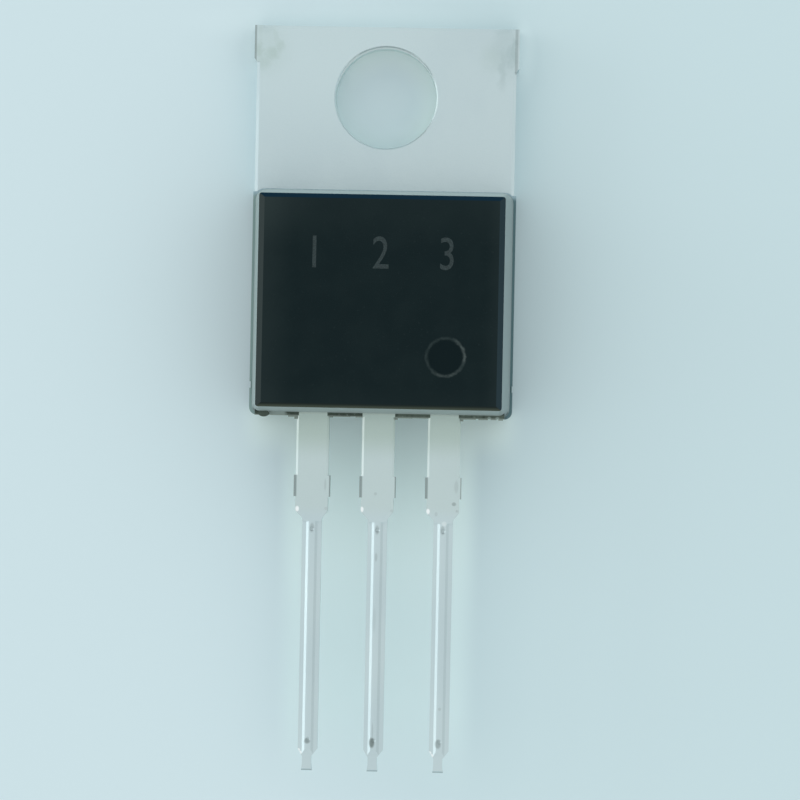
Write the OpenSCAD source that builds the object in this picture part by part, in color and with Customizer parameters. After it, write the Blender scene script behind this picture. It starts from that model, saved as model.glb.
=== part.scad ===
// Power transistor in a flat package: a tinned copper tab with one mounting hole, a black
// moulded body and three formed leads, with the die, its solder and the bond wires inside.
// Millimetres. The origin is on the axis of the mounting hole, at the back of the tab.
// +Z points out of the front of the body, +Y towards the free end of the tab.

/* [Tab] */
// Width of the tab
tab_w = 10.14; // [9.8:0.02:10.4]
// Thickness of the tab
tab_t = 1.27; // [1.15:0.01:1.39]
// Distance from the hole's centre to the free end of the tab
tab_top = 2.76; // [2.54:0.02:3.04]
// Diameter of the mounting hole
hole_d = 3.96; // [3.6:0.02:4.1]
// Punched roll-over round the front of the hole
hole_edge = 0.05; // [0.03:0.01:0.1]
// Width of the rolled edge along the front of the tab, half as deep
tab_edge = 0.12; // [0.06:0.01:0.16]
// Length of the sheared tie stub at the left free corner
ear_left_len = 1.43; // [1.2:0.01:1.8]
// Length of the sheared tie stub at the right free corner
ear_right_len = 1.67; // [1.2:0.01:1.8]
// How far each tie stub stands out of the side of the tab
ear_out = 0.1; // [0.05:0.01:0.12]
// Length of the slope that ends each tie stub
ear_slope = 0.15; // [0.1:0.01:0.2]

/* [Header inside the body] */
// How far each side of the header stands in from the side of the tab
header_inset = 0.77; // [0.6:0.01:0.9]
// Undercut of each side of the header, which locks it in the moulding
undercut = 0.22; // [0.1:0.02:0.3]
// Height of the undercut above the back
undercut_h = 0.57; // [0.4:0.01:0.8]
// Moulding below the end of the header
header_end_gap = 1.33; // [1.2:0.01:1.5]
// How far the full width of the tab reaches into the body
shoulder_depth = 0.12; // [0.1:0.01:0.2]
// Distance of the lock groove from the top of the body
groove_in = 0.75; // [0.6:0.05:0.9]
// Depth of the lock groove across the header
groove_d = 0.18; // [0.1:0.02:0.25]
// Length of the middle lead inside the body, before it bends down to the header
bend_in = 0.45; // [0.35:0.01:0.55]
// How much later the front of that bend starts than its back
bend_lag = 0.25; // [0.2:0.01:0.3]
// Length along which the bent strip joins the header
join_len = 0.35; // [0.2:0.01:0.5]
// Thickness of the bent strip where it joins the header
join_t = 0.35; // [0.3:0.01:0.45]

/* [Body] */
// How far the moulding stands out beyond each side of the tab
body_over = 0.06; // [0.04:0.01:0.1]
// How far the middle of the moulding lies to the right of the tab's
body_x = 0.02; // [0:0.005:0.05]
// Distance from the hole's centre to the top of the body
body_top = 3.62; // [3.5:0.02:3.8]
// Length of the body at its parting line
body_len = 8.84; // [8.6:0.01:9.2]
// Thickness from the back of the tab to the front of the body
body_t = 4.45; // [4.2:0.05:4.7]
// Draft of the moulded walls, in degrees
draft = 5.8; // [3:0.1:7]
// Ledge between the two halves of the mould, along the sides
ledge_side = 0.1; // [0.05:0.01:0.12]
// Ledge between the two halves of the mould, at the leads
ledge_end = 0.14; // [0.08:0.01:0.18]
// Ledge between the two halves of the mould, on the tab
ledge_tab = 0.02; // [0.01:0.01:0.06]
// Radius of the front corners of the body
front_r = 0.1; // [0.05:0.01:0.2]
// Width of the shallow bevel along the sides of the front
bevel_side_w = 0.21; // [0.1:0.01:0.25]
// Width of the shallow bevel along the ends of the front
bevel_end_w = 0.16; // [0.1:0.01:0.2]
// Depth of the shallow bevel
bevel_d = 0.03; // [0.02:0.01:0.05]
// Radius of the lower corners at the parting line
foot_r = 0.3; // [0.2:0.02:0.4]
// How far the back of the moulding lies below the back of the metal
back_recess = 0.05; // [0.02:0.01:0.1]
// Length of the gap in the ledge on each side
nick_len = 0.25; // [0.15:0.01:0.35]
// Distance of that gap from the lower end of the body
nick_y = 1.05; // [0.8:0.05:1.5]
// Diameter of the round mark that an ejector pin leaves on the front
mark_d = 1.6; // [1.2:0.05:2]
// Depth of the round mark
mark_deep = 0.06; // [0.03:0.01:0.1]
// Width of the sloping rim of the round mark
mark_rim = 0.16; // [0.04:0.01:0.25]
// Distance of the round mark from the right side of the body
mark_x = 2.6; // [2.2:0.02:3]
// Distance of the round mark from the lower end of the body
mark_y = 2.34; // [2:0.02:3]
// Thickness of the resin that squeezed out beside the leads
flash_t = 0.08; // [0.05:0.01:0.12]

/* [Leads] */
// Distance between neighbouring leads
pitch = 2.54; // [2.42:0.01:2.66]
// Thickness of the lead strip
lead_t = 0.5; // [0.4:0.01:0.6]
// Height of the front of the leads above the back of the tab
lead_z = 2.65; // [2.4:0.05:2.9]
// Length of the leads below the body
lead_len = 13.71; // [12.7:0.01:14.3]
// Width of a lead next to the body
root_w = 1.26; // [1.15:0.01:1.4]
// Length of the wide part below the body
root_len = 3.61; // [3.4:0.01:3.9]
// Length of the shoulder between the wide and the narrow part
shoulder_len = 0.4; // [0.3:0.02:0.5]
// Width of the rolled edge along the front of the wide part, half as deep
root_edge = 0.08; // [0.04:0.01:0.14]
// Distance of the sheared dam stubs below the body
dam_y = 2.3; // [2.2:0.01:2.45]
// Length of each dam stub along the lead
dam_len = 0.82; // [0.7:0.02:0.9]
// How far each dam stub stands out of the side of the lead
dam_out = 0.07; // [0.04:0.01:0.1]
// Width of the narrow part
leg_w = 0.76; // [0.7:0.01:0.9]
// How far the narrow part stands off the middle of the wide part
leg_shift = 0.03; // [0:0.01:0.05]
// How far the full thickness of the shoulder reaches into the narrow part
coin_start = 0.06; // [0.02:0.01:0.12]
// Width of the raised land that coining leaves along the narrow part
land_w = 0.24; // [0.2:0.01:0.3]
// How far the middle of the land stands above its edges
land_crown = 0.018; // [0.01:0.001:0.03]
// Width of the slope on each side of the raised land
land_slope = 0.1; // [0.05:0.01:0.12]
// Depth of the coined flanks below the land
coin_d = 0.08; // [0.04:0.01:0.12]
// Fall of each coined flank out to its edge
flank_fall = 0.04; // [0.02:0.01:0.06]
// Length of the taper above the nib
taper_len = 0.3; // [0.2:0.02:0.4]
// Length of the slope that ends the raised land
land_end = 0.2; // [0.1:0.02:0.3]
// Width of the nib at the tip
nib_w = 0.35; // [0.3:0.01:0.45]
// Length of the nib
nib_len = 0.54; // [0.4:0.02:0.7]
// How far the sheared tip spreads on each side of the nib
nib_flare = 0.03; // [0:0.01:0.05]
// Rolled edge across the front of the tip
tip_edge = 0.06; // [0.03:0.01:0.08]
// Radius of the punch marks at both ends of the land
dimple_r = 0.12; // [0.1:0.01:0.16]
// Depth of the punch marks
dimple_d = 0.04; // [0.03:0.005:0.06]
// Distance of the punch marks from both ends of the narrow part
dimple_in = 0.36; // [0.3:0.01:0.5]

/* [Inside the body] */
// Side of the square silicon die
die_w = 2.8; // [2.2:0.1:3.2]
// Thickness of the die
die_t = 0.25; // [0.2:0.01:0.35]
// Thickness of the solder under the die
solder_t = 0.05; // [0.03:0.01:0.1]
// How far the solder shows round the die
solder_rim = 0.1; // [0.05:0.01:0.2]
// Distance of the die's centre from the top of the body
die_y = 3.78; // [3.5:0.02:4]
// Diameter of the base wire
base_wire_d = 0.2; // [0.15:0.01:0.25]
// Distance of the base bond from both edges of its corner of the die
base_pad_in = 0.65; // [0.5:0.05:0.9]
// Diameter of the emitter wire
emitter_wire_d = 0.3; // [0.25:0.01:0.38]
// Distance of the emitter bond from both edges of its corner of the die
emitter_pad_in = 0.8; // [0.6:0.05:1]
// Sag of each wire's centre below the chord between its two bonds
wire_sink = 0.5; // [0.4:0.02:0.7]
// Width of the bond post at the inner end of each outer lead
post_w = 2.1; // [1.8:0.05:2.2]
// Length of the bond post
post_len = 1.15; // [1:0.05:1.3]
// Distance of the bond posts from the lower end of the body
post_y = 1.35; // [1.25:0.05:1.5]
// How far the middle of a post stands further out than its lead
post_out = 0.12; // [0:0.01:0.15]
// Diameter of the lock hole through each post
lock_d = 0.5; // [0.4:0.02:0.6]
// How far the lock hole stands further out than the lead
lock_out = 0.55; // [0.5:0.01:0.6]
// How far each wire lands from the middle of its post, towards the middle lead
bond_in = 0.32; // [0.2:0.02:0.4]
// Distance of each wire's landing from the inner edge of its post
bond_edge = 0.46; // [0.4:0.01:0.6]

/* [Hidden] */
$fn = 48;

// overlap that makes two shapes of one piece run into each other
weld = 0.1;
// sideways slope of a drafted wall for each millimetre of height
slope = tan(draft);

// heights
split_z = tab_t;
die_z = tab_t + solder_t;
die_top = die_z + die_t;

// places along Y
body_y1 = -body_top;
body_y0 = body_y1 - body_len;
shoulder_y = body_y1 - shoulder_depth;
header_y0 = body_y0 + header_end_gap;
die_cy = body_y1 - die_y;
post_y0 = body_y0 + post_y;
post_y1 = post_y0 + post_len;
groove_y = body_y1 - groove_in;

// widths that follow the tab
body_w = tab_w + 2 * body_over;
header_w = tab_w - 2 * header_inset;

// thin skin of resin along the split
skin_t = 0.06;
upper_z = split_z + skin_t;

// the front half of the moulding, where it rises from that skin
upper_w = body_w - 2 * ledge_side;
upper_y1 = body_y1 - ledge_tab;
upper_y0 = body_y0 + ledge_end - (lead_z - upper_z) * slope;
upper_r = front_r + (body_t - upper_z) * slope;

// its outline at the front
front_in = (body_t - upper_z) * slope;
face_x = upper_w / 2 - front_in;
face_y0 = upper_y0 + front_in;
face_y1 = upper_y1 - front_in;

// the lip that carries the leads, between the lower corners
lip_w = body_w - 2 * foot_r;
lip_in = 1;

// lead outline, measured down from the lower end of the body
leg_y = -(root_len + shoulder_len);
taper_y = -(lead_len - nib_len - taper_len);
nib_y = -(lead_len - nib_len);
tip_y = -lead_len;

// places of the bonds on the posts
post_x = pitch + post_out;
bond_x = post_x - bond_in;
bond_y = post_y1 - bond_edge;

// A block with four drafted walls and conical corners, between two heights. Its outline is
// given at z_wide and shrinks towards z_thin, which may lie above or below.
module drafted_block(w, y0, y1, z_wide, z_thin, r) {
    h = abs(z_thin - z_wide);
    s = h * slope;
    up = z_thin > z_wide;
    flat_x = w / 2 - r;
    translate([0, 0, z_wide])
    mirror([0, 0, up ? 0 : 1]) {
        // walls to the left and right
        translate([0, y1 - r, 0]) rotate([90, 0, 0])
        linear_extrude(height = y1 - y0 - 2 * r)
        polygon([[-w / 2, 0], [w / 2, 0], [w / 2 - s, h], [-w / 2 + s, h]]);
        // walls at the two ends
        translate([-flat_x, 0, 0]) rotate([90, 0, 90])
        linear_extrude(height = 2 * flat_x)
        polygon([[y0, 0], [y1, 0], [y1 - s, h], [y0 + s, h]]);
        // corners
        for (x = [-flat_x, flat_x], y = [y0 + r, y1 - r])
            translate([x, y, 0]) cylinder(h = h, r1 = r, r2 = r - s);
    }
}

// What the shallow bevel leaves of the front, as one slope at each end that runs on past the
// wall, seen from the side
module bevel_profile(from, to, w) {
    past = 3;
    low = body_t - past * bevel_d;
    out = past * (w + bevel_d * slope) - w;
    polygon([[from - body_t, 0], [to + body_t, 0], [to + body_t, low], [to + out, low],
             [to - w, body_t], [from + w, body_t], [from - out, low], [from - body_t, low]]);
}
module bevelled_front() intersection() {
    translate([0, body_y1 + weld, 0]) rotate([90, 0, 0])
    linear_extrude(height = body_len + 2 * weld)
    bevel_profile(-face_x, face_x, bevel_side_w);
    translate([-body_w / 2, 0, 0]) rotate([90, 0, 90])
    linear_extrude(height = body_w)
    bevel_profile(face_y0, face_y1, bevel_end_w);
}

// An arc of one quarter turn, as points
function quarter(x, y, r, start) = [
    for (i = [0 : 8]) [x + r * cos(start + 90 * i / 8), y + r * sin(start + 90 * i / 8)]
];
// A rectangle between two places along Y, with one radius at its lower corners and another
// at its upper ones
function rounded_outline(w, y0, y1, r_low, r_high) = concat(
    quarter(w / 2 - r_low, y0 + r_low, r_low, -90),
    quarter(w / 2 - r_high, y1 - r_high, r_high, 0),
    quarter(r_high - w / 2, y1 - r_high, r_high, 90),
    quarter(r_low - w / 2, y0 + r_low, r_low, 180)
);

// The right (1) or left (-1) side of a lead, from the body down to the tip. The shoulder is a
// smooth S curve from the wide part to the narrow one.
function leg_x(side) = leg_shift + side * leg_w / 2;
function shoulder_points(side, steps) = [
    for (i = [0 : steps])
        [side * root_w / 2 + (leg_x(side) - side * root_w / 2) * (1 - cos(180 * i / steps)) / 2,
         -root_len - shoulder_len * i / steps]
];
function side_outline(side, inner_y) = concat(
    [[side * root_w / 2, inner_y]],
    shoulder_points(side, 8),
    [[leg_x(side), taper_y],
     [side * nib_w / 2, nib_y],
     [side * nib_w / 2, (nib_y + tip_y) / 2],
     [side * (nib_w / 2 + nib_flare), tip_y]]
);
function backwards(points) = [for (i = [len(points) - 1 : -1 : 0]) points[i]];

module lead_plan(inner_y)
    polygon(concat(side_outline(1, inner_y), backwards(side_outline(-1, inner_y))));

// Section of the wide part above the dam bar, seen along the lead, with rolled front edges
module root_section() {
    w = root_w / 2;
    polygon([[-w, -lead_t], [w, -lead_t], [w, -root_edge / 2], [w - root_edge, 0],
             [root_edge - w, 0], [-w, -root_edge / 2]]);
}

// Section of the narrow part: a raised, crowned land between coined flanks, front and back
module leg_section() {
    a = land_w / 2;
    front = [[a / 4, 0], [a / 2, -land_crown / 6], [a, -land_crown],
             [a + land_slope, -coin_d], [leg_w / 2, -coin_d - flank_fall]];
    right = concat(front, [for (p = backwards(front)) [p[0], -lead_t - p[1]]]);
    translate([leg_shift, 0])
    polygon(concat(right, [for (p = backwards(right)) [-p[0], p[1]]]));
}

// Side view of the narrow part: the land ends in a slope, and the nib is flat
module leg_profile() {
    nib_top = taper_y - land_end;
    polygon([[leg_y + weld, 0], [taper_y, 0], [nib_top, -coin_d], [tip_y + tip_edge, -coin_d],
             [tip_y, -coin_d - tip_edge], [tip_y, coin_d - lead_t],
             [nib_top, coin_d - lead_t], [taper_y, -lead_t], [leg_y + weld, -lead_t]]);
}

// One formed lead from inner_y inside the body down to its tip, its front at lead_z
module formed_lead(inner_y) {
    translate([0, body_y0, lead_z]) difference() {
        union() {
            translate([0, inner_y, 0]) rotate([90, 0, 0])
            linear_extrude(height = inner_y + dam_y + 2 * weld) root_section();
            // sheared stubs of the dam bar, which has square edges
            translate([-root_w / 2 - dam_out, -dam_y - dam_len, -lead_t])
            cube([root_w + 2 * dam_out, dam_len, lead_t]);
            // wide part and shoulder below the dam bar, with square edges too
            intersection() {
                translate([0, 0, -lead_t]) linear_extrude(height = lead_t)
                lead_plan(-dam_y - weld);
                translate([-root_w, leg_y - coin_start, -root_w])
                cube([2 * root_w, coin_start - leg_y, 2 * root_w]);
            }
            // narrow part
            intersection() {
                translate([0, 0, -lead_t]) linear_extrude(height = lead_t)
                lead_plan(-dam_y - weld);
                translate([0, leg_y + weld, 0]) rotate([90, 0, 0])
                linear_extrude(height = leg_y + weld - tip_y) leg_section();
                translate([-root_w, 0, 0]) rotate([90, 0, 90])
                linear_extrude(height = 2 * root_w) leg_profile();
            }
        }
        // marks of the coining punch at both ends of the land
        for (y = [leg_y - dimple_in, taper_y + dimple_in])
            translate([leg_shift, y, dimple_r - dimple_d]) sphere(r = dimple_r);
    }
}

// A sheared tie stub with square edges at the left (-1) or right (1) free corner of the tab
module tie_stub(side, len) {
    w = tab_w / 2;
    linear_extrude(height = tab_t)
    polygon([[side * (w - 2 * tab_edge), tab_top], [side * (w + ear_out), tab_top],
             [side * (w + ear_out), tab_top - len + ear_slope], [side * w, tab_top - len],
             [side * (w - 2 * tab_edge), tab_top - len]]);
}

// The tab and header, the downset and the middle lead, bent from one strip
module collector_frame() color("silver") difference() {
    w = tab_w / 2;
    h = header_w / 2;
    join_y = header_y0 + join_len;
    union() {
        // tab
        intersection() {
            translate([0, tab_top, 0]) rotate([90, 0, 0])
            linear_extrude(height = tab_top - shoulder_y)
            polygon([[-w, 0], [w, 0], [w, tab_t - tab_edge / 2], [w - tab_edge, tab_t],
                     [tab_edge - w, tab_t], [-w, tab_t - tab_edge / 2]]);
            translate([-w, 0, 0]) rotate([90, 0, 90]) linear_extrude(height = tab_w)
            polygon([[shoulder_y, 0], [tab_top, 0], [tab_top, tab_t - tab_edge / 2],
                     [tab_top - tab_edge, tab_t], [shoulder_y, tab_t]]);
        }
        tie_stub(-1, ear_left_len);
        tie_stub(1, ear_right_len);
        // header, narrower at the back so that the moulding holds it
        translate([0, shoulder_y + weld, 0]) rotate([90, 0, 0])
        linear_extrude(height = shoulder_y + weld - header_y0)
        polygon([[undercut - h, 0], [h - undercut, 0], [h, undercut_h],
                 [h, tab_t], [-h, tab_t], [-h, undercut_h]]);
        // downset between the header and the middle lead
        translate([-root_w / 2, 0, 0]) rotate([90, 0, 90]) linear_extrude(height = root_w)
        polygon([[body_y0, lead_z - lead_t], [body_y0 + bend_in, lead_z - lead_t],
                 [header_y0, tab_t - join_t], [join_y, tab_t - join_t], [join_y, tab_t],
                 [body_y0 + bend_in + bend_lag, lead_z], [body_y0, lead_z]]);
        formed_lead(weld);
    }
    // mounting hole with its punched edge
    translate([0, 0, -weld]) cylinder(h = tab_t + 2 * weld, d = hole_d);
    translate([0, 0, tab_t - hole_edge])
    cylinder(h = 2 * hole_edge, r1 = hole_d / 2, r2 = hole_d / 2 + 2 * hole_edge);
    // lock groove across the header
    translate([-tab_w, 0, 0]) rotate([90, 0, 90]) linear_extrude(height = 2 * tab_w)
    polygon([[groove_y - groove_d, tab_t + weld], [groove_y - groove_d, tab_t],
             [groove_y, tab_t - groove_d], [groove_y + groove_d, tab_t],
             [groove_y + groove_d, tab_t + weld]]);
}

// An outer lead with its bond post, side -1 for the base and 1 for the emitter
module outer_lead(side) {
    translate([side * pitch, 0, 0]) formed_lead(post_y + weld);
    difference() {
        translate([side * post_x - post_w / 2, post_y0, lead_z - lead_t])
        cube([post_w, post_len, lead_t]);
        translate([side * (pitch + lock_out), (post_y0 + post_y1) / 2, lead_z - lead_t - weld])
        cylinder(h = lead_t + 2 * weld, d = lock_d);
    }
}

module base_lead() color("silver") outer_lead(-1);

module emitter_lead() color("silver") outer_lead(1);

module die_solder() color("darkgray") {
    w = die_w + 2 * solder_rim;
    translate([-w / 2, die_cy - w / 2, tab_t]) cube([w, w, solder_t]);
}

module silicon_die() color("dimgray")
    translate([-die_w / 2, die_cy - die_w / 2, die_z]) cube([die_w, die_w, die_t]);

// A bond wire in one upright arc from the die to a post, with a flattened foot at each end
module bond_wire(from, to, d) {
    run = norm(to - from);
    rise = lead_z - die_top;
    chord = sqrt(run * run + rise * rise);
    arc_r = sqrt(chord * chord / 4 + wire_sink * wire_sink);
    foot = [d * 2.4, d * 1.3, d * 0.45];
    mid = [run / 2, (lead_z + die_top) / 2] + wire_sink / chord * [rise, -run];
    translate([from[0], from[1], 0])
    rotate([0, 0, atan2(to[1] - from[1], to[0] - from[0])]) {
        difference() {
            translate([mid[0], 0, mid[1]]) rotate([90, 0, 0])
            rotate_extrude($fn = 96) translate([arc_r, 0]) circle(d = d, $fn = 32);
            // what would lie below the feet
            translate([-2 * run, -d, -run])
            cube([2.5 * run, 2 * d, run + die_top + foot[2] / 2]);
            translate([run / 2 - weld, -d, -run])
            cube([2.5 * run, 2 * d, run + lead_z + foot[2] / 2]);
        }
        translate([-foot[0] * 0.7, -foot[1] / 2, die_top]) cube(foot);
        translate([run - foot[0] * 0.3, -foot[1] / 2, lead_z]) cube(foot);
    }
}

module base_wire() color("gainsboro") {
    pad = die_w / 2 - base_pad_in;
    bond_wire([-pad, die_cy - pad], [-bond_x, bond_y], base_wire_d);
}

module emitter_wire() color("gainsboro") {
    pad = die_w / 2 - emitter_pad_in;
    bond_wire([pad, die_cy - pad], [bond_x, bond_y], emitter_wire_d);
}

// Thin slivers of resin that squeezed out between the mould halves beside the leads. Each row
// is the lead and its side, where the sliver starts and ends from there, and how far it stands
// out.
lead_flash = [
    [-1, -1, 0, 0.1, 0.13], [-1, -1, 0.1, 0.34, 0.05],
    [-1, 1, 0, 0.14, 0.05], [-1, 1, 0.14, 0.81, 0.015], [0, -1, 0, 0.27, 0.03],
    [0, 1, 0, 0.1, 0.09], [0, 1, 0.1, 0.67, 0.03], [1, -1, 0, 0.61, 0.02],
    [1, 1, 0, 0.1, 0.1], [1, 1, 0.1, 0.58, 0.03]
];
// Each row is where the sliver starts and ends from the right end of the lip, and how far it
// stands out.
corner_flash = [[0.03, 0.21, 0.045], [0.28, 0.51, 0.03], [0.61, 0.98, 0.035]];
// A lens-shaped lump near the left end of the lip
lump_in = 0.38;
lump_r = 0.3;
lump_w = 0.13;
lump_h = 0.45;

module sliver(x, width, out)
    translate([x, body_y0 - out, lead_z - flash_t]) cube([width, out + weld, flash_t]);

module flash() {
    for (row = lead_flash) {
        width = row[3] - row[2];
        near = row[0] * pitch + row[1] * (root_w / 2 + row[2]);
        sliver(row[1] > 0 ? near : near - width, width, row[4]);
    }
    for (row = corner_flash)
        sliver(lip_w / 2 - row[1], row[1] - row[0], row[2]);
    translate([lump_in - lip_w / 2, body_y0 + lump_w / 2, lead_z - lump_h / 2])
    linear_extrude(height = lump_h)
    intersection() {
        translate([0, lump_r - lump_w]) circle(r = lump_r);
        translate([0, lump_w - lump_r]) circle(r = lump_r);
    }
}

// The outside of the moulding, solid
module body_shell() {
    skin_r = foot_r * 1.1;
    mark_r = mark_d / 2;
    difference() {
        union() {
            translate([body_x, 0, 0]) {
                // front half
                intersection() {
                    drafted_block(upper_w, upper_y0, upper_y1, upper_z, body_t, upper_r);
                    bevelled_front();
                }
                // back half, behind the shoulder of the tab
                intersection() {
                    drafted_block(body_w, body_y0, body_y1 + foot_r, split_z, back_recess,
                                  foot_r);
                    translate([-body_w, body_y0 - weld, 0])
                    cube([2 * body_w, shoulder_y - body_y0 + weld, body_t]);
                }
                // skin along the split, which runs out over the tab
                translate([0, 0, split_z]) linear_extrude(height = skin_t)
                polygon(rounded_outline(body_w, body_y0, body_y1, skin_r,
                                        upper_r + ledge_side / 2));
                // lip that carries the leads
                translate([-lip_w / 2, body_y0, split_z])
                cube([lip_w, lip_in, lead_z - split_z]);
            }
            flash();
        }
        translate([body_x, 0, 0]) {
            // gap in the ledge on each side
            for (side = [-1, 1])
                translate([side * (upper_w / 2 + weld) - weld, body_y0 + nick_y,
                           split_z - nick_len])
                cube([2 * weld, nick_len, body_t]);
            // round mark with a sloping rim
            translate([body_w / 2 - mark_x, body_y0 + mark_y, body_t - mark_deep])
            cylinder(h = 2 * mark_deep, r1 = mark_r - mark_rim, r2 = mark_r + mark_rim);
        }
    }
}

// The moulding round everything that it holds
module mould_body() color([0.11, 0.14, 0.15]) difference() {
    body_shell();
    collector_frame();
    base_lead();
    emitter_lead();
    die_solder();
    silicon_die();
    base_wire();
    emitter_wire();
}

mould_body();
collector_frame();
base_lead();
emitter_lead();
die_solder();
silicon_die();
base_wire();
emitter_wire();
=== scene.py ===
import bmesh
import bpy
from mathutils import Matrix, Vector


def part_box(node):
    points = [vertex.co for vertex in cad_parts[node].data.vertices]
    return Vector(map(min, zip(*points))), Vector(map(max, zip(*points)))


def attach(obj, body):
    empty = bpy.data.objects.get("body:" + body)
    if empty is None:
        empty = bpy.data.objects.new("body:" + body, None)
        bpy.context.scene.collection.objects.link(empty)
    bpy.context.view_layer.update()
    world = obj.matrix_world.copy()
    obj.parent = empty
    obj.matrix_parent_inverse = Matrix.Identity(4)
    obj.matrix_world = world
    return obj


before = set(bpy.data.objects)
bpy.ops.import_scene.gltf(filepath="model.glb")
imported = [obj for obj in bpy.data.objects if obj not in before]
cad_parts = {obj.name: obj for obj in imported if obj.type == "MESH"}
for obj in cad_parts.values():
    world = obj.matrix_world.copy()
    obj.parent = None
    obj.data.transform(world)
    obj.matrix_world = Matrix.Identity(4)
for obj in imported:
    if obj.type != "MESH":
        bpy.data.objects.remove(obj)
bpy.context.view_layer.update()

MM = 0.001

# Places on the part in millimetres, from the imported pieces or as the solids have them
body_low, body_high = (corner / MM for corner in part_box("mould_body"))
front_z = body_high.z
split_z = 1.27
# the moulding's lower end, which its longest sliver of flash passes by 0.13
lip_y = body_low.y + 0.13
# the ends of the moulding's front, inside its bevel
face_low_y = lip_y + 0.33
face_high_y = body_high.y - 0.31
# the round mark of the ejector pin
mark_x, mark_y, mark_ring_r = 2.55, -10.12, 0.727
tab_half_w = 5.07
hole_r = 1.98
# the leads: their wide part with its dam stubs, the neck below it, and the tips
pitch = 2.54
lead_front_z = 2.65
wide_half_w = 0.63
stub_high_y = lip_y - 2.30
stub_low_y = lip_y - 3.12
neck_y = lip_y - 4.0
tip_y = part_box("collector_frame")[0].y / MM


# Shader nodes
def feed(node, feeds):
    """Sets a node's inputs, given by name or number, each to a value or from a socket."""
    for name, value in feeds.items():
        if isinstance(value, bpy.types.NodeSocket):
            node.id_data.links.new(value, node.inputs[name])
        else:
            node.inputs[name].default_value = value


def add(kind, feeds, **settings):
    """A new node with those inputs and settings, in the tree of the socket that feeds it."""
    tree = next(value.id_data for value in feeds.values()
                if isinstance(value, bpy.types.NodeSocket))
    node = tree.nodes.new(kind)
    for name, value in settings.items():
        setattr(node, name, value)
    feed(node, feeds)
    return node


def maths(operation, first, second=0.0, clamp=False):
    """The result of one operation on one or two numbers, kept from 0 to 1 if clamp is set."""
    return add("ShaderNodeMath", {0: first, 1: second}, operation=operation,
               use_clamp=clamp).outputs["Value"]


def times(*shares):
    """Several shares multiplied."""
    result = shares[0]
    for share in shares[1:]:
        result = maths("MULTIPLY", result, share)
    return result


def most(*shares):
    """The largest of several shares."""
    result = shares[0]
    for share in shares[1:]:
        result = maths("MAXIMUM", result, share)
    return result


def span(value, start, end, low=0.0, high=1.0):
    """low where value is at start, high where it is at end, smooth between and level past."""
    return add("ShaderNodeMapRange",
               {"Value": value, "From Min": start, "From Max": end, "To Min": low,
                "To Max": high}, interpolation_type="SMOOTHSTEP").outputs["Result"]


def opaque(colour):
    """A written colour with its alpha, or a colour socket as it is."""
    return (*colour, 1.0) if isinstance(colour, tuple) else colour


def blend(share, first, second):
    """The first colour where share is 0 and the second where it is 1."""
    return add("ShaderNodeMix", {0: share, 6: opaque(first), 7: opaque(second)},
               data_type="RGBA").outputs[2]


def noise(place, scale, detail=2.0, roughness=0.5):
    """Cloudy noise with about that many clouds to a millimetre."""
    return add("ShaderNodeTexNoise",
               {"Vector": place, "Scale": scale, "Detail": detail,
                "Roughness": roughness}).outputs["Fac"]


def stretched(place, scale, move=(0.0, 0.0, 0.0)):
    """A place scaled along each axis and then moved."""
    return add("ShaderNodeMapping",
               {"Vector": place, "Scale": scale, "Location": move}).outputs["Vector"]


def axes(vector):
    """The x, y and z of a place or a normal."""
    split = add("ShaderNodeSeparateXYZ", {0: vector})
    return split.outputs["X"], split.outputs["Y"], split.outputs["Z"]


def distance(place, point=(0.0, 0.0, 0.0)):
    """How far a place is from a point."""
    return add("ShaderNodeVectorMath", {0: place, 1: point},
               operation="DISTANCE").outputs["Value"]


def near(place, point, radius, soft):
    """1 within radius of a point, falling to 0 over soft."""
    return span(distance(place, point), radius + soft, radius)


def oval(place, x, y, half_x, half_y, soft=0.7):
    """1 inside an upright oval seen from the front, falling to 0 over a share of its size."""
    inside = stretched(place, (1 / half_x, 1 / half_y, 0.0), (-x / half_x, -y / half_y, 0.0))
    return span(distance(inside), 1 + soft / 2, 1 - soft / 2)


def spots(place, rows, soft=0.7):
    """The largest share of several ovals, each given by x, y, half width, half height, share."""
    return most(*[times(oval(place, *row[:4], soft), row[4]) for row in rows])


def bump(shader, height, depth):
    """Relief of that depth in millimetres."""
    relief = add("ShaderNodeBump", {"Height": height, "Distance": depth * MM, "Strength": 1.0})
    feed(shader, {"Normal": relief.outputs["Normal"]})


def new_finish(name):
    """An empty finish: its material, its Principled shader, the place on the part in
    millimetres and the normal there."""
    material = bpy.data.materials.new(name)
    material.use_nodes = True
    where = material.node_tree.nodes.new("ShaderNodeTexCoord")
    place = stretched(where.outputs["Object"], (1 / MM, 1 / MM, 1 / MM))
    return (material, material.node_tree.nodes["Principled BSDF"], place,
            where.outputs["Normal"])


# Finishes
# filled epoxy looks dusty at a low angle
DUSTY = {"Sheen Weight": 0.68, "Sheen Roughness": 0.3, "Sheen Tint": (0.78, 1.0, 1.0, 1.0)}
# metal where the tin is worn, dirty or sheared off
TARNISH = (0.22, 0.28, 0.28)


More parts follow.
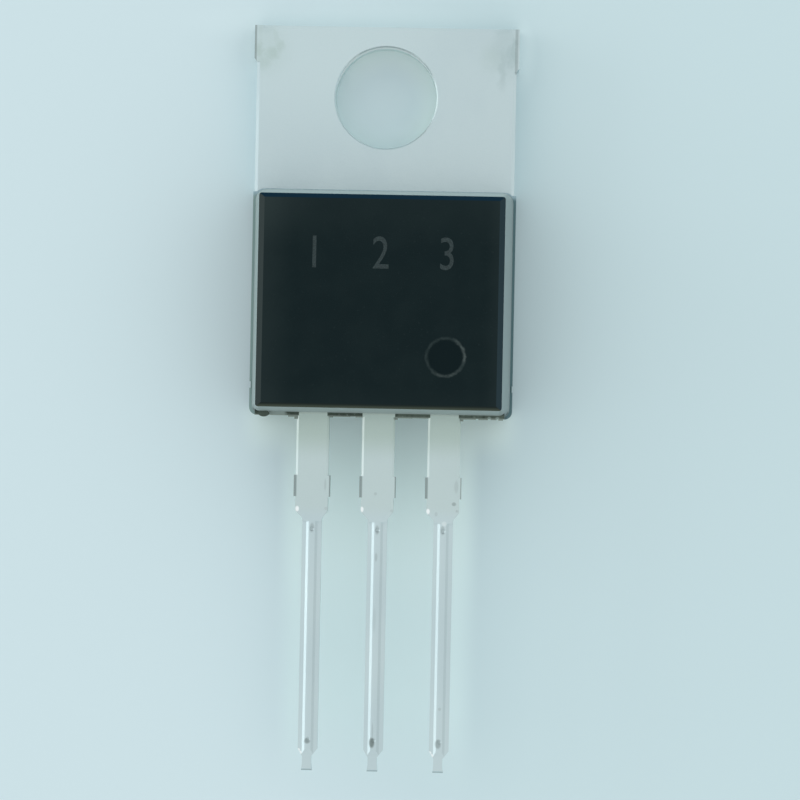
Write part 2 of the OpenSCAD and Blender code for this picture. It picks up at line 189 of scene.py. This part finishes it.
def moulded_epoxy():
    """Black filled epoxy: a finely eroded front, drafted walls that look dusty at a low angle,
    a bevel and walls painted lit and shaded per side, pale ledges with painted shade to the
    right, and dull flash."""
    material, shader, place, normal = new_finish("moulded_epoxy")
    x, y, z = axes(place)
    lean_x, lean_y, lean_z = axes(normal)
    # flatness is 1 on a face that looks straight up or down and 0 on an upright one
    flatness = maths("ABSOLUTE", lean_z)
    level = span(flatness, 0.4, 0.8)
    front = span(z, front_z - 0.3, front_z - 0.1)
    cloud = span(noise(place, 0.9, 3.0), 0.35, 0.7)
    grain = noise(place, 22.0, 3.0, 0.6)
    filler = span(noise(place, 9.0, 1.0), 0.66, 0.74)
    colour = blend(cloud, (0.0030, 0.0058, 0.0066), (0.0044, 0.0078, 0.0085))
    colour = blend(times(filler, 0.4), colour, (0.011, 0.016, 0.017))

    # the front is paler towards its edges, most of all at its upper left corner
    edge_paling = span(x, -3.2, -4.7, 0.0, 0.42)
    for share in (span(x, 3.9, 4.7, 0.0, 0.30),
                  span(y, -6.5, -3.7, 0.0, 0.22),
                  span(y, -11.0, -12.2, 0.0, 0.15),
                  times(near(place, (-4.6, -3.9, front_z), 0.3, 2.2), 0.4)):
        edge_paling = maths("ADD", edge_paling, share, clamp=True)
    colour = blend(times(edge_paling, front, level), colour, (0.020, 0.028, 0.028))

    # the ejector mark: a darker floor inside a broken ring, with a painted highlight on its
    # sloping rim, strongest at the upper right
    from_mark = distance(place, (mark_x, mark_y, front_z))
    colour = blend(times(front, span(from_mark, 0.72, 0.60)), colour, (0.0012, 0.0026, 0.0034))
    uneven = times(maths("SUBTRACT", noise(place, 3.5, 3.0, 0.6), 0.5), 0.16)
    from_ring = maths("ABSOLUTE", maths("SUBTRACT", maths("ADD", from_mark, uneven),
                                        mark_ring_r))
    broken = span(noise(place, 5.0, 3.0, 0.6), 0.35, 0.6, 0.55, 1.0)
    ring_highlight = spots(place, [(3.20, -9.85, 0.35, 0.45, 1.0), (2.75, -10.85, 0.60, 0.30, 0.55)])
    ring_colour = blend(ring_highlight, (0.021, 0.030, 0.030), (0.060, 0.076, 0.074))
    colour = blend(times(front, span(from_ring, 0.090, 0.0), broken), colour, ring_colour)

    # the shallow bevel round the front has painted light and shade per side: palest on the left,
    # which faces the light, bluish at the top and brownish along the bottom
    bevel = times(span(flatness, 0.998, 0.994), span(flatness, 0.95, 0.975))
    bevel_top_shading = blend(span(y, face_high_y - 0.07, face_high_y), (0.001, 0.013, 0.030),
                     (0.008, 0.032, 0.054))
    bevel_shading = blend(span(y, face_low_y + 0.14, face_low_y), (0.008, 0.010, 0.008),
                 (0.050, 0.060, 0.042))
    bevel_shading = blend(span(lean_x, -0.02, -0.08), bevel_shading, (0.034, 0.043, 0.042))
    bevel_shading = blend(span(lean_x, 0.02, 0.08), bevel_shading, (0.018, 0.031, 0.039))
    bevel_shading = blend(span(lean_y, 0.02, 0.08), bevel_shading, bevel_top_shading)
    colour = blend(times(bevel, span(from_mark, 0.9, 1.1)), colour, bevel_shading)

    # walls: a tint per side painted for light and reflection, palest on the left, which faces
    # the light, a little bluish at the tab's end and on the right, brownish on the other two
    # sides
    wall = maths("SUBTRACT", 1.0, level)
    for lean, side, wall_shading in ((lean_y, 1, (0.005, 0.012, 0.019)),
                                    (lean_y, -1, (0.013, 0.012, 0.006)),
                                    (lean_x, -1, (0.026, 0.022, 0.016)),
                                    (lean_x, 1, (0.004, 0.010, 0.015))):
        colour = blend(times(wall, span(lean, 0.5 * side, 0.9 * side)), colour, wall_shading)

    # ledges at the split: palest at the tab's end, and darker to the right as painted shade away
    # from the light on the left
    ledge = times(span(z, split_z + 0.18, split_z + 0.11), span(flatness, 0.9, 0.95))
    ledge_shading = blend(span(x, -1.0, 1.0), (0.265, 0.390, 0.380), (0.118, 0.207, 0.225))
    ledge_shading = blend(span(y, body_high.y - 0.35, body_high.y - 0.15), ledge_shading,
                         (0.36, 0.52, 0.58))
    colour = blend(ledge, colour, ledge_shading)

    # the upper part of the lump near the lip's left end, and nothing above it
    lump = times(span(z, lead_front_z + 0.10, lead_front_z + 0.20),
                 span(z, lead_front_z + 0.27, lead_front_z + 0.23),
                 oval(place, -4.38, lip_y + 0.06, 0.45, 0.25, 0.2))
    colour = blend(lump, colour, (0.075, 0.098, 0.080))

    # flash and the lip round the leads are dull and ragged, rubbed near the corners and pale
    # where they are thin
    flash = times(span(y, lip_y + 0.20, lip_y + 0.14),
                  span(z, lead_front_z + 0.06, lead_front_z + 0.02),
                  span(z, lead_front_z - 0.35, lead_front_z - 0.15))
    ragged = noise(place, 6.0, 3.0, 0.6)
    flash_colour = blend(span(x, 0.6, 0.8), (0.062, 0.082, 0.067), (0.100, 0.132, 0.108))
    flash_colour = blend(span(ragged, 0.55, 0.70, 0.0, 0.5), flash_colour, (0.26, 0.33, 0.30))
    flash_colour = blend(span(ragged, 0.45, 0.30, 0.0, 0.6), flash_colour,
                         (0.020, 0.030, 0.026))
    rubbed = times(most(near(place, (-3.95, lip_y, lead_front_z), 0.26, 0.18),
                        near(place, (4.27, lip_y, lead_front_z), 0.05, 0.06),
                        near(place, (4.58, lip_y, lead_front_z), 0.05, 0.06)),
                   span(z, lead_front_z - 0.16, lead_front_z - 0.04))
    flash_colour = blend(rubbed, flash_colour, (0.30, 0.38, 0.36))
    thin = times(span(y, lip_y + 0.050, lip_y - 0.005), level, 0.8)
    flash_colour = blend(thin, flash_colour, (0.31, 0.385, 0.345))
    colour = blend(flash, colour, flash_colour)

    rough = most(maths("ADD", 0.40, times(grain, 0.08)), times(flash, 0.75))
    feed(shader, {"Base Color": colour, "Roughness": rough, "Specular IOR Level": 0.3,
                  "Specular Tint": (0.25, 0.50, 0.55, 1.0), **DUSTY})
    bump(shader, times(grain, level), 0.006)
    return material


# Marks on the tin: x, y, half width, half height and share. First the tab's free corners,
# greenish stains and grey smudges, then the front of the leads: dark marks, the first ones in
# the punch marks and some painted shade at the shoulders' right corners, then painted glints.
STAINS = [
    (-4.86, 1.30, 0.36, 0.28, 0.33), (-4.52, 1.62, 0.34, 0.28, 0.42),
    (-4.22, 1.92, 0.20, 0.26, 0.34), (-4.98, 1.78, 0.16, 0.36, 0.45),
    (-4.36, 2.30, 0.14, 0.42, 0.24), (-5.00, 2.40, 0.14, 0.46, 0.20),
    (-4.75, 1.85, 0.75, 0.90, 0.16), (4.05, 1.62, 0.36, 0.50, 0.16)]
SMUDGES = [
    (4.66, 1.90, 0.50, 0.95, 0.22), (4.78, 1.72, 0.22, 0.46, 0.42),
    (4.92, 1.85, 0.12, 0.60, 0.50), (4.52, 1.35, 0.18, 0.80, 0.36),
    (4.55, 2.60, 0.30, 0.14, 0.25), (-4.80, 2.60, 0.35, 0.16, 0.15)]
DARK_MARKS_AND_SHADE = [
    (-2.53, -25.03, 0.11, 0.10, 0.70), (-0.03, -25.05, 0.10, 0.19, 1.00),
    (2.53, -25.05, 0.11, 0.17, 0.58), (-0.01, -24.60, 0.03, 0.30, 0.25),
    (-2.50, -16.78, 0.08, 0.17, 0.40), (0.02, -16.83, 0.08, 0.17, 0.40),
    (2.55, -16.80, 0.08, 0.17, 0.35), (0.00, -17.88, 0.05, 0.16, 0.30),
    (2.97, -15.77, 0.08, 0.07, 0.55), (3.09, -16.04, 0.05, 0.05, 0.30),
    (2.29, -16.17, 0.06, 0.08, 0.20), (-0.07, -15.43, 0.06, 0.06, 0.25),
    (-0.03, -20.30, 0.07, 0.45, 0.12), (2.57, -23.70, 0.06, 0.06, 0.25),
    (-1.97, -16.03, 0.06, 0.06, 0.20), (0.57, -16.08, 0.06, 0.06, 0.20),
    (-2.02, -15.12, 0.04, 0.22, 0.22), (3.05, -15.10, 0.08, 0.24, 0.20)]
PAINTED_GLINTS = [
    (-3.09, -16.06, 0.07, 0.10, 0.90), (-0.59, -16.04, 0.07, 0.10, 0.90),
    (1.97, -16.07, 0.07, 0.10, 0.90), (2.61, -16.54, 0.10, 0.09, 0.30),
    (-2.86, -25.39, 0.06, 0.06, 0.80), (-2.79, -25.49, 0.06, 0.07, 0.80),
    (2.22, -25.40, 0.06, 0.06, 0.80), (2.30, -25.51, 0.06, 0.07, 0.80)]


def matt_tin():
    """Matt tin on copper: a fine grain, cloudy handling marks and dark sheared stubs, with
    painted glints, painted shade and painted light in the hole.
    """
    material, shader, place, normal = new_finish("matt_tin")
    x, y, z = axes(place)
    lean_x, _, lean_z = axes(normal)
    facing = span(lean_z, 0.2, 0.5)
    cloud = span(noise(stretched(place, (0.35, 0.22, 0.35)), 1.0, 3.0), 0.35, 0.65)
    grain = noise(place, 14.0, 4.0, 0.65)
    colour = blend(cloud, (0.520, 0.645, 0.675), (0.545, 0.670, 0.695))
    # the free end of the tab is paler on the left, as painted light from that side
    colour = blend(times(span(y, -3.5, 1.5), span(x, 5.0, -2.0)), colour,
                   (0.570, 0.705, 0.730))
    # the wide part of the leads is greener, and darker still near the moulding, as painted shade
    # from it
    wide = times(span(y, neck_y, neck_y + 0.6), span(y, lip_y + 0.2, lip_y))
    colour = blend(times(wide, 0.6), colour, (0.530, 0.650, 0.640))
    colour = blend(times(wide, span(y, lip_y - 1.8, lip_y - 0.6)), colour,
                   (0.445, 0.565, 0.530))

    # stains and smudges at the two free corners, with edges that wander
    drift = times(maths("SUBTRACT", noise(place, 1.8, 4.0, 0.6), 0.5), 0.6)
    wander = add("ShaderNodeCombineXYZ", {0: drift, 1: drift, 2: 0.0}).outputs["Vector"]
    spread = add("ShaderNodeVectorMath", {0: place, 1: wander},
                 operation="ADD").outputs["Vector"]
    stain = times(facing, spots(spread, STAINS, 1.5))
    colour = blend(stain, colour, (0.38, 0.505, 0.455))
    smudge = times(facing, spots(spread, SMUDGES, 1.2))
    colour = blend(smudge, colour, (0.345, 0.465, 0.475))

    # the rolled left side of the tab is a little dull, and that of each lead's wide part has a
    # painted glint
    leaning = times(span(lean_x, -0.2, -0.4), facing)
    rolled = times(leaning, span(y, -4.5, -4.0), span(y, -1.5, 1.0, 0.4, 0.85))
    colour = blend(rolled, colour, (0.44, 0.55, 0.58))
    middle_lead = span(maths("ABSOLUTE", maths("ADD", x, wide_half_w - 0.03)), 0.4, 0.2)
    painted_glint = maths("ADD", span(y, lip_y - 0.8, lip_y - 0.1, 0.18, 0.42), times(middle_lead, 0.1))
    painted_glint = times(leaning, span(y, lip_y + 0.2, lip_y + 0.1),
                  span(y, neck_y + 0.6, neck_y + 0.8), painted_glint)
    colour = blend(painted_glint, colour, (0.86, 0.97, 0.96))
    # the right of each coined land has painted shade, facing away from the light
    land_right_shade = times(span(lean_x, 0.3, 0.45), facing, span(y, neck_y, neck_y - 0.2), 0.16)
    colour = blend(land_right_shade, colour, TARNISH)
    # painted shade, greenish, where a lead goes into the moulding
    entry_shade = times(facing, span(y, lip_y + 0.03, lip_y + 0.13),
                 span(y, lip_y + 0.5, lip_y + 0.4), 0.35)
    colour = blend(entry_shade, colour, (0.26, 0.32, 0.21))

    # painted light in the hole: its sheared wall is painted bright, brightest high up at the
    # top, its rim at the top has a painted highlight, and the rim at the right painted shade
    from_axis = distance(stretched(place, (1.0, 1.0, 0.0)))
    in_hole = span(from_axis, hole_r + 0.06, hole_r + 0.045)
    bore = times(in_hole, span(maths("ABSOLUTE", lean_z), 0.2, 0.1))
    colour = blend(bore, colour, (0.72, 0.84, 0.84))
    colour = blend(times(bore, span(z, 0.4, 0.7), span(y, 0.0, 1.2)), colour, (1.0, 1.0, 1.0))
    rim = times(in_hole, span(lean_z, 0.1, 0.2), span(lean_z, 0.99, 0.96))
    colour = blend(times(rim, span(y, 0.9, 1.7)), colour, (0.90, 1.0, 1.0))
    colour = blend(times(rim, span(x, 0.8, 1.5), span(y, 1.6, 1.0)), colour,
                   (0.48, 0.58, 0.59))

    # dark marks, some of them painted shade at the right corners of the leads' shoulders, and
    # painted glints
    colour = blend(times(facing, spots(place, DARK_MARKS_AND_SHADE)), colour, TARNISH)
    colour = blend(times(facing, spots(place, PAINTED_GLINTS)), colour, (0.92, 0.99, 1.0))

    # sheared ends: the tab's tie stubs, the leads' dam stubs and their tips
    left_tie = span(x, -tab_half_w, -tab_half_w - 0.04)
    right_tie = times(span(x, tab_half_w - 0.09, tab_half_w - 0.05),
                      span(x, tab_half_w + 0.06, tab_half_w + 0.03))
    ties = times(most(left_tie, right_tie), span(y, 0.95, 1.05),
                 span(x, -1.0, 1.0, 0.62, 0.42))
    # how far a place is to the right of the middle of its lead
    across = maths("SUBTRACT", maths("FLOORED_MODULO", maths("ADD", x, pitch / 2), pitch),
                   pitch / 2)
    stubs = times(most(span(across, 0.05 - wide_half_w, 0.02 - wide_half_w),
                       span(across, wide_half_w + 0.02, wide_half_w + 0.05)),
                  span(y, stub_low_y - 0.02, stub_low_y + 0.02),
                  span(y, stub_high_y + 0.02, stub_high_y - 0.02), 0.75)
    tips = span(y, tip_y + 0.08, tip_y + 0.02, 0.0, 0.42)
    sheared = most(ties, stubs, tips)
    colour = blend(sheared, colour, TARNISH)

    rough = maths("ADD", span(grain, 0.3, 0.7, 0.36, 0.46),
                  times(most(sheared, stain, smudge), 0.15))
    feed(shader, {"Base Color": colour, "Metallic": 1.0, "Roughness": rough})
    bump(shader, grain, 0.004)
    return material


def dull_solder():
    """Soft solder, wavy where it set."""
    material, shader, place, _ = new_finish("dull_solder")
    wave = noise(place, 2.5, 2.0)
    feed(shader, {"Base Color": blend(wave, (0.42, 0.43, 0.44), (0.58, 0.59, 0.60)),
                  "Metallic": 1.0, "Roughness": span(wave, 0.3, 0.7, 0.35, 0.55)})
    bump(shader, wave, 0.02)
    return material


def polished_silicon():
    """Dark silicon with a fine grid of metal on it."""
    material, shader, place, _ = new_finish("polished_silicon")
    grid = add("ShaderNodeTexBrick",
               {"Vector": place, "Scale": 4.0, "Mortar Size": 0.03,
                "Color1": (0.16, 0.17, 0.20, 1.0), "Color2": (0.18, 0.18, 0.22, 1.0),
                "Mortar": (0.55, 0.56, 0.58, 1.0)})
    feed(shader, {"Base Color": grid.outputs["Color"],
                  "Roughness": span(noise(place, 6.0), 0.3, 0.7, 0.12, 0.2)})
    return material


def drawn_wire():
    """Bright aluminium wire with lines from the die it was drawn through."""
    material, shader, place, _ = new_finish("drawn_wire")
    lines = noise(stretched(place, (30.0, 2.0, 30.0)), 1.0, 2.0)
    feed(shader, {"Base Color": blend(lines, (0.78, 0.79, 0.80), (0.86, 0.87, 0.88)),
                  "Metallic": 1.0, "Roughness": span(lines, 0.3, 0.7, 0.2, 0.32)})
    bump(shader, lines, 0.002)
    return material


def laser_marking():
    """What a laser leaves on the epoxy: a pale, slightly broken, dull line."""
    material, shader, place, _ = new_finish("laser_marking")
    speck = noise(place, 26.0, 2.0, 0.6)
    feed(shader, {"Base Color": blend(span(speck, 0.35, 0.65), (0.017, 0.028, 0.030),
                                      (0.036, 0.057, 0.060)),
                  "Roughness": span(speck, 0.3, 0.7, 0.6, 0.8), "Specular IOR Level": 0.2,
                  **DUSTY})
    bump(shader, speck, 0.004)
    return material


def pale_floor():
    """A pale matt sheet, painted paler to the left as light from that side, and painted paler
    to lift the shade wherever the photo shows next to no shade: at the ends of the tab, under
    and beside the leads, and in the hole."""
    material, shader, place, _ = new_finish("pale_floor")
    x, y, _ = axes(place)
    aside = maths("ABSOLUTE", x)
    # painted light: paler to the left, and paler patches that lift the shade by the tab's ends,
    # under and beside the leads and in the hole
    colour = blend(span(x, -4.0, 6.0), (0.638, 0.795, 0.838), (0.595, 0.762, 0.800))
    tab_ends = spots(place, [(-5.2, 2.1, 0.35, 1.0, 0.45), (5.3, 1.9, 0.40, 1.1, 0.5),
                             (-0.8, 3.0, 5.0, 0.7, 0.40)], 1.4)
    colour = blend(tab_ends, colour, (0.77, 0.94, 0.97))
    below_body = span(y, lip_y + 0.6, lip_y)
    under_leads = times(span(aside, 4.1, 3.0), span(y, tip_y - 1.5, tip_y + 3.0), below_body)
    colour = blend(under_leads, colour, (0.705, 0.885, 0.905))
    under_roots = times(under_leads, span(y, lip_y - 9.0, lip_y - 2.0))
    colour = blend(under_roots, colour, (0.80, 0.985, 0.985))
    beside_roots = times(span(aside, 5.8, 4.4), span(aside, 2.6, 3.6),
                         span(y, lip_y - 1.9, lip_y - 0.2), below_body, 0.75)
    colour = blend(beside_roots, colour, (0.80, 0.985, 0.955))
    from_hole = distance(place)
    in_hole = times(span(from_hole, 0.9, 2.1), span(from_hole, 2.6, 2.4),
                    span(maths("ADD", x, y), -1.5, 1.0, 0.20, 0.70))
    colour = blend(in_hole, colour, (0.82, 0.975, 0.955))
    feed(shader, {"Base Color": colour, "Roughness": 0.9, "Specular IOR Level": 0.1})
    return material


def dress(node_names, material):
    """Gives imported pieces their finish."""
    for name in node_names:
        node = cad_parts[name]
        node.data.materials.clear()
        node.data.materials.append(material)


dress(["mould_body"], moulded_epoxy())
dress(["collector_frame", "base_lead", "emitter_lead"], matt_tin())
dress(["die_solder"], dull_solder())
dress(["silicon_die"], polished_silicon())
dress(["base_wire", "emitter_wire"], drawn_wire())


# Lead numbers
def lead_numbers():
    """Plain numerals marked on the front above each lead, as one thin piece."""
    numeral_h = 1.3
    # height of a numeral for a text size of 1
    numeral_share = 0.73
    narrow = 0.8
    row_y = -6.25
    mark_t = 0.004
    piece = bpy.data.meshes.new("lead_numbers")
    whole = bmesh.new()
    for number, x in zip("123", (-pitch, 0.0, pitch)):
        text = bpy.data.curves.new("numeral_" + number, "FONT")
        text.body = number
        text.align_x = "CENTER"
        text.align_y = "CENTER"
        text.size = numeral_h / numeral_share
        text.extrude = mark_t / 2
        numeral = bpy.data.objects.new("numeral_" + number, text)
        bpy.context.scene.collection.objects.link(numeral)
        bpy.context.view_layer.update()
        shape = bpy.data.meshes.new_from_object(
            numeral.evaluated_get(bpy.context.evaluated_depsgraph_get()))
        bpy.data.objects.remove(numeral)
        shape.transform(Matrix.Translation(Vector((x, row_y, front_z)) * MM)
                        @ Matrix.Diagonal((narrow * MM, MM, MM, 1)))
        whole.from_mesh(shape)
    bmesh.ops.remove_doubles(whole, verts=whole.verts, dist=1e-7)
    bmesh.ops.recalc_face_normals(whole, faces=whole.faces)
    whole.to_mesh(piece)
    whole.free()
    piece.materials.append(laser_marking())
    marks = bpy.data.objects.new("lead_numbers", piece)
    bpy.context.scene.collection.objects.link(marks)
    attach(marks, "root")


lead_numbers()


# Floor
def floor():
    """A wide sheet just below the back of the part."""
    half_w = 1.5
    gap = 1e-5
    mesh = bpy.data.meshes.new("floor")
    sheet = bmesh.new()
    bmesh.ops.create_grid(sheet, x_segments=1, y_segments=1, size=half_w,
                          matrix=Matrix.Translation((0, 0, -gap)))
    sheet.to_mesh(mesh)
    sheet.free()
    mesh.materials.append(pale_floor())
    plane = bpy.data.objects.new("floor", mesh)
    bpy.context.scene.collection.objects.link(plane)


floor()


# Light: one long soft window, low on the left, in a pale room
def softbox(name, centre, aim, width, height, brightness):
    """A rectangular lamp that faces aim. Brightness is that of its face, where white is 1."""
    lamp = bpy.data.lights.new(name, "AREA")
    lamp.shape = "RECTANGLE"
    lamp.size = width
    lamp.size_y = height
    lamp.energy = 4 * width * height * brightness
    stand = bpy.data.objects.new(name, lamp)
    stand.location = centre
    stand.rotation_euler = (Vector(aim) - Vector(centre)).to_track_quat("-Z", "Y").to_euler()
    bpy.context.scene.collection.objects.link(stand)


part_middle = (0.0, -0.011, 0.0)
softbox("window_left", (-0.60, 0.06, 0.105), part_middle, 0.50, 0.20, 2.0)

world = bpy.data.worlds.new("room")
world.use_nodes = True
feed(world.node_tree.nodes["Background"], {"Color": (1, 1, 1, 1), "Strength": 0.92})
bpy.context.scene.world = world

# Camera, nearly straight above the part, with the place, tilt and lens of the photo's view
camera = bpy.data.cameras.new("camera")
camera.sensor_width = 36.0
camera.lens = 177.39
camera.clip_start = 0.01
camera.clip_end = 10.0
tripod = bpy.data.objects.new("camera", camera)
tripod.location = (0.00423, -0.012536, 0.155)
tripod.rotation_euler = (0.0053828, 0.0223683, 0.0198326)
bpy.context.scene.collection.objects.link(tripod)
bpy.context.scene.camera = tripod
bpy.context.scene.view_settings.view_transform = "Standard"

bpy.context.view_layer.update()
